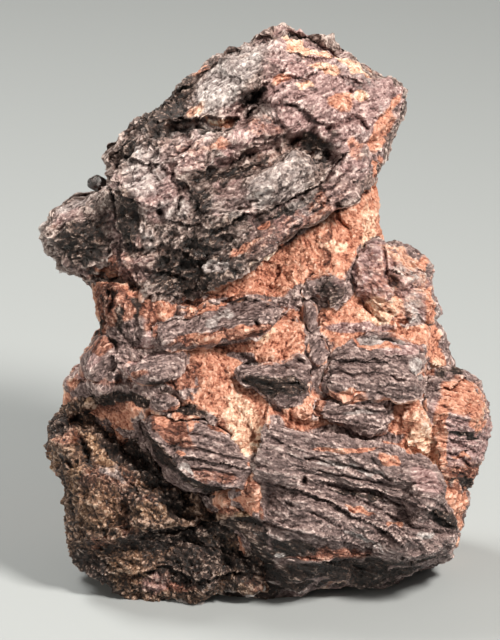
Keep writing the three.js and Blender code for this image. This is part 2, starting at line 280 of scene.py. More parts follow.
def fine_copy(node, spacing):
    """A new object with a fine, even mesh of a CAD piece, in mm on the face."""
    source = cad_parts[node]
    corners = np.zeros(len(source.data.vertices) * 3)
    source.data.vertices.foreach_get("co", corners)
    mesh = source.data.copy()
    mesh.vertices.foreach_set("co", to_face(corners.reshape(-1, 3)).ravel())
    welded = bmesh.new()
    welded.from_mesh(mesh)
    bmesh.ops.remove_doubles(welded, verts=welded.verts, dist=0.001)
    welded.to_mesh(mesh)
    welded.free()
    rough = bpy.data.objects.new(node + "_rough", mesh)
    bpy.context.scene.collection.objects.link(rough)
    cut = rough.modifiers.new("fine", "REMESH")
    cut.mode = "VOXEL"
    cut.voxel_size = spacing
    bpy.context.view_layer.update()
    seen = rough.evaluated_get(bpy.context.evaluated_depsgraph_get())
    fine = bpy.data.meshes.new_from_object(seen)
    bpy.data.objects.remove(rough)
    bpy.data.meshes.remove(mesh)
    fine.materials.clear()
    piece = bpy.data.objects.new(node.replace("_", " ").title().replace(" ", "") + "_stone", fine)
    bpy.context.scene.collection.objects.link(piece)
    return piece


# Marks on the face that faces the viewer. A line has its width and depth in mm, then its points (x, v).
# crevice: a groove; ledge: the side below the line drops back; ridge: a raised rib; pit: a hole;
# brow: the face turns away on both sides; undercut: all below the line stays back
MARKS = {
    "upper_mass": [
        ("crevice", 1.3, 1.9, [(-13.5, 72.2), (-9, 72.4), (-5, 72.6), (-3, 73.4)]),
        ("crevice", 1.3, 2.2, [(-3.6, 76.4), (-1.6, 77.8), (0.4, 78.9)]),
        ("crevice", 0.9, 2.0, [(-9.3, 66.3), (-7, 67), (-4, 67.8), (-2, 68.8), (0, 69.5), (3, 70.3), (5, 71.5)]),
        ("crevice", 1.8, 1.0, [(-9.5, 65.4), (-7, 65.9), (-5, 66.4)]),
        ("crevice", 0.7, 1.3, [(-8, 62.5), (-6, 64), (-4, 65.2), (-1, 66.8), (2, 68), (4, 69)]),
        ("crevice", 2.2, 2.0, [(3.4, 70.2), (6.4, 70.8), (8.4, 69.4), (10, 67.6)]),
        ("crevice", 0.45, 1.0, [(4.4, 79.9), (5.4, 79.6), (6.6, 80.3)]),
        ("crevice", 0.35, 0.6, [(2.5, 77), (4, 75.9), (5.6, 75.4)]),
        ("pit", 0.9, 1.2, [(15, 77)]),
        ("pit", 0.8, 1.0, [(12.5, 78)]),
        ("crevice", 0.7, 1.2, [(9.3, 72.6), (11.3, 73.4), (13.5, 74.5), (15, 72.6)]),
        ("ledge", 1.0, 0.5, [(2.5, 80.6), (6, 80.2), (9, 81.4), (14, 80)]),
        ("ledge", 1.2, 0.6, [(1, 76.8), (4, 76.2), (7, 74.9), (9.5, 73.2)]),
        ("ledge", 1.2, 0.6, [(15, 72.6), (17, 74.4), (20.6, 76.2)]),
        ("ledge", 0.8, 0.4, [(4, 84), (8, 83.2), (12, 83.4)]),
        ("ridge", 1.6, 0.9, [(-8, 69.3), (-5, 70.2), (-2, 71.6)]),
        ("ledge", 2.4, 1.1, [(-13.5, 73.6), (-9, 74.2), (-5, 74.2), (-3.5, 76.5), (0.5, 79.8)]),
        ("brow", 1.5, 1.3, [(-33.6, 58.2), (-29, 59.6), (-26, 60.6), (-22.8, 62.6)]),
        ("ridge", 3.4, 1.3, [(-3, 62), (2, 64.4), (6, 66)]),
        ("ledge", 1.6, 1.2, [(-13, 74.4), (-9.5, 74.1), (-7.5, 73.5), (-4, 74.6), (-2, 76)]),
        ("ledge", 3.0, 1.3, [(-22.6, 63.5), (-22.4, 58), (-21.2, 53.5), (-19.6, 49.5)]),
        ("ledge", 1.1, 1.5, [(-5.6, 58), (-3, 59.6), (0, 60.4), (4, 62), (8, 64), (9.6, 66), (12, 68.6)]),
        ("ledge", 0.9, 0.5, [(1, 55.4), (5, 58.6), (9, 61.4), (13.5, 64.6)]),
        ("crevice", 0.4, 0.5, [(-2, 54.2), (3, 57), (8, 60.8), (12, 63.4)]),
        ("crevice", 0.35, 0.45, [(2, 57.6), (7, 61.2), (12, 65.4)]),
        ("pit", 0.7, 1.2, [(10.8, 60.9)]),
        ("ledge", 1.3, 0.8, [(-20.5, 68.4), (-16, 67.2), (-12, 64.4), (-9.5, 60.6)]),
        ("ledge", 1.1, 0.6, [(-21, 62.6), (-17, 61), (-13, 58.4), (-9, 57.6)]),
        ("crevice", 0.6, 0.7, [(-17.6, 67.6), (-16.2, 63.6), (-16, 60)]),
        ("crevice", 0.5, 0.6, [(-14, 66), (-13, 62.4), (-13.4, 59)]),
        ("ledge", 1.5, 1.0, [(-19.5, 55), (-15, 55.2), (-11, 53.6), (-7.4, 52.4)]),
        ("ledge", 1.2, 0.8, [(-18, 51.6), (-14, 50.8), (-10, 49.6)]),
        ("ridge", 0.9, 1.1, [(-8, 51), (-7, 51.5)]),
        ("ridge", 0.6, 0.9, [(-18, 50), (-17, 47.6), (-16, 45)]),
        ("crevice", 0.5, 0.6, [(-6, 58.4), (-2, 61.4), (2, 63)]),
        ("crevice", 0.35, 0.4, [(-3, 61.2), (1, 63), (6, 65.4)]),
    ],
    "lower_bundle": [
        ("crevice", 0.45, 0.7, [(9.5, 19.2), (11, 18.9), (13, 18.5), (15, 18.3), (17, 17.9)]),
        ("crevice", 0.45, 0.6, [(17, 18), (18.4, 17.2), (20, 16)]),
        ("crevice", 0.4, 0.6, [(13, 17.7), (14.5, 16.8), (16, 16), (18, 15), (20, 13.8)]),
        ("crevice", 0.5, 0.7, [(21, 13.8), (22, 13), (23, 12.5), (25, 12), (29, 11.8)]),
        ("crevice", 0.4, 0.6, [(22, 17.8), (24, 17.5), (25.6, 16.6), (27.5, 15)]),
        ("ledge", 1.5, 1.0, [(9.5, 19.6), (13, 19), (17, 18.4), (21, 17), (25, 15.2), (28, 13)]),
        ("ledge", 1.2, 0.8, [(1, 19.5), (5, 18.6), (9, 17), (13, 14.6), (18, 12.2), (20.5, 10.4)]),
        ("undercut", 1.6, 3.2, [(-7, 16), (-4, 13.4), (-0.6, 8.6), (3.4, 4.6), (6.4, 0)]),
        ("undercut", 1.6, 4.0, [(-8, 13), (-3, 11.6), (0, 9.2), (4, 7.6), (8, 7.6), (12, 8.4), (16, 8.8), (20, 8),
                                (24, 8.4), (31, 9.6)]),
        ("ledge", 0.9, 0.8, [(0, 13.6), (5, 12.4), (9, 11.2), (13, 10.4), (16, 9.4), (20, 8.4), (25, 8.8)]),
        ("pit", 0.8, 1.3, [(5.8, 20)]),
        ("crevice", 0.4, 0.7, [(6, 23.4), (10, 22.6), (15, 21.6), (19, 20.2)]),
        ("crevice", 0.35, 0.7, [(8, 21.6), (12, 20.8), (18, 19.4), (23, 17.6)]),
        ("crevice", 0.4, 0.8, [(3.4, 16.6), (7, 15.2), (11, 13)]),
    ],
    "left_slab": [
        ("crevice", 0.35, 0.45, [(-13, 26.6), (-9, 26.2), (-6, 25.4)]),
        ("crevice", 0.35, 0.4, [(-14, 24.6), (-10, 24.4), (-6, 23.6), (-3.4, 22.8)]),
        ("crevice", 0.3, 0.4, [(-11, 21.6), (-8, 21.4), (-4, 20.4)]),
        ("ledge", 0.7, 0.45, [(-14.5, 23.4), (-10, 23), (-5.5, 22.2), (-2.5, 21.4)]),
        ("undercut", 0.6, 3.0, [(-17, 26.6), (-13.8, 22.4), (-11.4, 20.4), (-7.8, 19.2), (-0.5, 18.6)]),
    ],
    "left_flank": [
        ("crevice", 4.2, 3.6, [(-26, 29), (-22, 26.4), (-18, 23.4), (-14, 19.6), (-9, 16.4)]),
        ("crevice", 1.4, 2.0, [(-17, 12), (-12, 12.4), (-8, 12.8), (-3, 13.8)]),
        ("undercut", 1.5, 3.0, [(-36, 9.6), (-29, 10.4), (-24, 10.6), (-19, 11.6), (-14, 12.8), (-9, 13.4), (-4, 14.4),
                                (3, 15)]),
        ("ridge", 1.2, 1.0, [(-32.8, 25.6), (-30, 25), (-27.6, 21), (-25, 19.5)]),
        ("crevice", 1.0, 1.2, [(-30.6, 28.6), (-27.8, 26), (-26.6, 22.6)]),
        ("ridge", 1.2, 1.4, [(-27, 31.6), (-23, 30.8), (-19, 28.4), (-16, 25), (-12.6, 20.6)]),
        ("ledge", 1.6, 1.0, [(-20, 4.6), (-15, 5.6), (-10, 3.6), (-4, 4.6)]),
    ],
    "right_fan": [
        ("crevice", 0.6, 0.7, [(27.6, 27.8), (29.5, 27.2), (31, 26.7), (33.8, 25.8)]),
        ("crevice", 0.5, 0.5, [(28, 25.6), (30.5, 24.4), (33, 23.2)]),
        ("crevice", 0.5, 0.7, [(27.4, 24.2), (30, 22.4), (32, 21.6)]),
                ("ledge", 1.2, 0.8, [(26.4, 33.6), (28.5, 33.8), (30, 35)]),
    ],
    "right_knot": [
        ("pit", 1.0, 0.9, [(19.3, 49.5)]),
        ("crevice", 0.5, 0.8, [(17.6, 53.8), (18.3, 51.4), (18.6, 49)]),
        ("crevice", 0.35, 0.4, [(14, 47.2), (17, 46.9), (20.6, 47.4)]),
        ("ridge", 1.1, 0.7, [(21.8, 47.4), (22.6, 42.6)]),
        ("ledge", 1.0, 0.7, [(18.6, 51), (20.6, 50.8), (23, 51.4), (25, 50.8)]),
    ],
    "upper_left_blade": [
        ("brow", 1.4, 1.0, [(-17, 41.6), (-10, 42), (-6, 43), (-2, 44.4), (4, 45.2)]),
        ("pit", 0.7, 0.8, [(-1, 42.8)]),
    ],
    "lower_left_blade": [("brow", 1.2, 0.8, [(-22, 36.4), (-17, 36.8), (-11, 37.4)])],
    "centre_blade": [
        ("brow", 0.9, 1.3, [(-6, 36.4), (-2, 36), (0.5, 35.8), (2.4, 35), (4, 36), (7, 37)]),
        ("crevice", 0.35, 0.6, [(-3, 35.2), (1, 34.2), (5, 34.2)]),
    ],
    "right_blade": [
        ("crevice", 0.45, 0.7, [(9.6, 36.2), (13, 35.6), (17, 35.8), (20.6, 34.8)]),
        ("ledge", 0.6, 0.6, [(9.4, 38), (14, 37.8), (20, 38.2)]),
        ("ridge", 1.2, 0.9, [(21.6, 36.8), (22.6, 34.6)]),
        ("brow", 1.0, 1.2, [(8, 38.2), (12, 39), (16, 39.3), (20, 39.2), (25, 38)]),
    ],
    "left_edge_crystal": [("brow", 1.2, 0.8, [(-27.6, 36.4), (-26, 38.4), (-24.4, 40.4)])],
    "lower_blade": [
        ("crevice", 0.4, 0.8, [(7, 30.4), (11, 29.6), (16, 30), (19, 30)]),
        ("crevice", 0.35, 0.6, [(9, 31.4), (14, 30.9), (18, 30.9)]),
    ],
    "feldspar_matrix": [
        ("ledge", 1.6, 1.4, [(-9, 50.4), (-2, 52.6), (3, 55.2), (8, 59.4), (13, 62.4), (16.5, 64)]),
        ("ridge", 1.4, 0.9, [(0.6, 38.4), (0.4, 33), (0.2, 27)]),
        ("ledge", 1.2, 0.9, [(0.6, 31), (0.5, 27.4), (0.4, 22.6)]),
        ("crevice", 1.2, 1.3, [(-24.6, 41.2), (-23.6, 40.4), (-22.6, 39.6)]),
        ("crevice", 0.9, 0.9, [(-8.6, 46.4), (-14, 46), (-18, 47.6)]),
        ("crevice", 0.6, 0.7, [(3.8, 31.2), (4, 29.4), (3.6, 27)]),
        ("ridge", 1.6, 0.8, [(-22, 46.6), (-21, 43.6)]),
        ("crevice", 0.8, 1.1, [(-23.2, 50), (-22.6, 46), (-23.6, 42.6)]),
        ("crevice", 0.6, 0.9, [(-19.6, 50), (-18.8, 46), (-19.4, 43.4)]),
        ("ledge", 1.0, 0.8, [(-29, 34.6), (-26, 34.8), (-22, 36), (-20.4, 35)]),
        ("ridge", 1.5, 1.1, [(1.6, 27.4), (1.5, 29.4)]),
        ("ridge", 1.0, 0.9, [(2.1, 31.7), (2.3, 31.8)]),
        ("ridge", 1.4, 1.0, [(8.5, 33.8), (8.9, 38.6)]),
        ("ridge", 1.0, 0.8, [(-22.6, 33.9), (-20.6, 33.5)]),
        ("ridge", 1.0, 0.7, [(4.2, 47.2), (7, 47.4)]),
        ("crevice", 0.8, 1.0, [(10.4, 60.2), (12.4, 57.4), (12.2, 54.4)]),
    ],
}

# Pieces whose marks run straighter, by how much of the raggedness they keep
STRAIGHT = {"lower_bundle": 0.45, "left_slab": 0.4}
FEATURE_SIGNS = {"crevice": 1, "pit": 1, "ridge": -1}
# How far behind the front of a piece an undercut fades out, in mm
UNDERCUT_REACH = 18


def marks_of(node, points, frontal):
    """How far the marks move each point: away from the viewer, and along the face, in mm."""
    push = np.zeros(len(points))
    under = np.zeros(len(points))
    ragged = points.copy()
    straight = STRAIGHT.get(node, 1)
    for size, reach, seed in ((2.4, 0.36 * straight, 31), (0.9, 0.35 * straight, 33)):
        ragged[:, 0] += reach * noise(points, size, seed)
        ragged[:, 1] += reach * noise(points, size, seed + 1)
    uneven = 1 + 0.4 * noise(points, 1.8, 36)
    strong = np.clip(1 + 0.9 * noise(points, 2.6, 37), 0.15, 1.3)
    for kind, width, depth, line in MARKS.get(node, []):
        distance, side = to_segments(ragged, line)
        distance = distance * uneven
        if kind == "ledge":
            below = np.where(side < 0, np.exp(-distance / width), 0)
            above = np.where(side >= 0, np.exp(-distance / (0.6 * width)), 0)
            push += depth * strong * (below - 0.5 * above)
        elif kind == "undercut":
            under += depth * np.where(side < 0, 1 - np.exp(-distance / width), 0)
        elif kind == "brow":
            above = np.where(side >= 0, np.minimum(distance / width, 2), 0)
            below = np.where(side < 0, 0.3 * np.minimum(distance / width, 2), 0)
            push += depth * (above + below)
        else:
            push += FEATURE_SIGNS[kind] * depth * strong * (1 - step(0.1 * width, width, distance))
    front = np.percentile(points[:, 2], 5)
    under *= 1 - step(front, front + UNDERCUT_REACH, points[:, 2])
    return push * frontal + under, math.tan(LEAN) * under


BLADES = ("upper_left_blade", "lower_left_blade", "left_edge_crystal", "centre_blade", "right_blade",
          "lower_blade", "upright_crystal", "drop_crystal", "neck_crystal", "small_knob")


def squared_off(points, facing):
    """A blade's rounded front made flatter, with steeper sides, as a broken crystal has."""
    side_on = np.abs(facing[:, 2]) < 0.35
    rim = np.median(points[side_on, 2])
    front = points[:, 2].min()
    lift = np.clip((rim - points[:, 2]) / (rim - front), 0, 1)
    flat = rim - (rim - front) * lift**0.5
    return np.where(points[:, 2] < rim, 0.3 * points[:, 2] + 0.7 * flat, points[:, 2])


# How much deeper some crystals lie in the feldspar than in the CAD, in mm
SUNK = {"lower_left_blade": 0.9, "left_edge_crystal": 0.7, "upper_left_blade": 0.4, "right_knot": 1.1,
        "neck_crystal": -0.3}


def settled(node, points, facing):
    """The piece's own form, closer to the real one than its solid is."""
    points = points.copy()
    if node in BLADES:
        points[:, 2] = squared_off(points, facing)
    if node == "upper_mass":
        away = points - np.array(BEAD_CENTRE)
        distance = np.linalg.norm(away, axis=1)
        points += away * (np.maximum(2.2 - distance, 0) / np.maximum(distance, 0.2))[:, None]
        points[:, 0] += 1.25 * patch(points, -26, 65.4, 3.4, 3.2, 0)
        points[:, 1] -= 0.6 * step(79, 88, points[:, 1])
        horn = 1 - step(-31, -23, points[:, 0])
        chord = 59.3 + 0.63 * (points[:, 0] + 33)
        points[:, 1] -= 0.75 * horn * np.maximum(points[:, 1] - chord, 0)
    if node == "lower_bundle":
        left_end = (1 - step(-0.3, 6, points[:, 0])) * (1 - step(17, 22, points[:, 1]))
        points[:, 0] -= 4.5 * left_end
        points[:, 2] += 5.0 * left_end
    if node == "left_flank":
        points[:, 0] += 2.5 * step(-6, 0, points[:, 0])
    if node in SUNK:
        points[:, 2] += SUNK[node]
    return points


# How each piece breaks: the angle of its grain on the face, how far its layers tip, the lengths of
# its chips along, across and through the grain in mm, and how high chips and ribs stand
GRAINS = {
    "upper_mass": dict(angle=28, dip=35, chip=(6, 4.4, 3.2), height=1.15, ribs=0.1, bend=0.4, glassy=0.75),
    "lower_bundle": dict(angle=-17, dip=14, chip=(9, 4, 1.8), height=0.5, ribs=0.16, bend=0.4, glassy=0.3),
    "left_slab": dict(angle=-7, dip=20, chip=(6, 3, 1.4), height=0.34, ribs=0.13, bend=0.4, glassy=0.3),
    "left_flank": dict(angle=-38, dip=30, chip=(3.6, 2.6, 2), height=0.9, ribs=0.05, bend=0.5, glassy=0.6),
    "right_fan": dict(angle=-12, dip=10, chip=(6, 3, 1.5), height=0.35, ribs=0.2),
    "right_knot": dict(angle=-25, dip=20, chip=(4, 3, 2.4), height=0.75, ribs=0.05, bend=0.5, glassy=0.8),
    "upper_left_blade": dict(angle=16, dip=25, chip=(6, 2.4, 1.4), height=0.35, ribs=0.1, glassy=0.4),
    "lower_left_blade": dict(angle=10, dip=25, chip=(5, 2, 1.4), height=0.3, ribs=0.1, glassy=0.4),
    "left_edge_crystal": dict(angle=48, dip=25, chip=(4, 2, 1.4), height=0.3, ribs=0.08, glassy=0.4),
    "centre_blade": dict(angle=-2, dip=20, chip=(5, 2.4, 1.2), height=0.32, ribs=0.12, glassy=0.4),
    "right_blade": dict(angle=-3, dip=24, chip=(5, 2.6, 1.6), height=0.5, ribs=0.12, glassy=0.4),
    "lower_blade": dict(angle=-4, dip=16, chip=(5, 2, 1.1), height=0.4, ribs=0.14, glassy=0.4),
    "upright_crystal": dict(angle=80, dip=20, chip=(2.6, 1.6, 1.2), height=0.25, ribs=0.05, glassy=0.4),
    "drop_crystal": dict(angle=76, dip=20, chip=(2.6, 1.6, 1.2), height=0.25, ribs=0.05, glassy=0.4),
    "neck_crystal": dict(angle=25, dip=20, chip=(4, 3, 2.6), height=0.65, ribs=0.05, bend=0.3, glassy=1),
    "small_knob": dict(angle=5, dip=20, chip=(2.2, 1.6, 1.2), height=0.3, ribs=0.06, glassy=0.4),
    "feldspar_matrix": dict(angle=84, dip=10, ribs=0.2),
}


def grain_of(points, axes, seed, share):
    """Each point's place along, across and through the bent grain, in mm."""
    bend = np.column_stack([noise(points, 9, seed + k) for k in range(3)]) * 1.6
    bend += np.column_stack([noise(points, 3.5, seed + 5 + k) for k in range(3)]) * 0.35
    return (points + share * bend) @ axes.T


def broken(grain, points, chip, height, ribs, glassy, seed):
    """How far a broken mineral surface stands out, in mm."""
    chip = np.array(chip, float)
    out = np.zeros(len(grain))
    for level, share in enumerate((0.9, 0.6, 0.34, 0.13 + 0.17 * glassy)):
        size = chip / 2**level
        if glassy < 1:
            rise, edge = chips(grain, size, seed + 10 * level, 1.3)
            out += (1 - glassy) * height * share * (rise * 0.6 - 0.12 * edge**4)
        if glassy > 0:
            out += glassy * height * share * facets(grain, size, seed + 10 * level + 5, 2.0)
    if ribs:
        out += ribs * 1.4 * striae(grain, 1.5, 9, seed + 60)
        out += ribs * striae(grain, 0.8, 6, seed + 70)
        out += ribs * 0.5 * striae(grain, 0.45, 4, seed + 80)
    out += 0.1 * cloudy(points, 0.8, seed + 90, 2)
    return out


# Where a surface is smoother than the rest: a patch, its last number being how much calmer it is
CALM = {
    "upper_mass": [
        (12, 77, 10, 8, 0, 0.55), (2, 64.6, 8, 3.4, 25, 0.5), (-29, 61, 4, 1.6, 20, 0.7), (6.4, 59.6, 12, 2.4, 32, 0.8),
        (-6, 80, 7, 4, 40, 0.35),
    ],
}
# How much calmer the side turned away from the viewer is than the front
BACK_CALM = 0.45


def plates(points):
    """Where plates of crystal show in the feldspar of the sides and the back, 0 to 1."""
    return step(0.04, 0.16, cloudy(points, (13, 5, 9), 771, 3))


def crumbly(grain, points, ribs, seed):
    """How far coarse grains of feldspar stand out, in mm."""
    out = ribs * striae(grain, 0.9, 5, seed + 3)
    for size, height, groove in ((5.5, 0.36, 0.04), (2.4, 0.3, 0.1), (1.1, 0.22, 0.2), (0.6, 0.16, 0.2)):
        rise, edge = chips(points, size, seed + int(10 * size), 1.2)
        out += height * (rise * 0.65 - groove * edge**3)
    return out


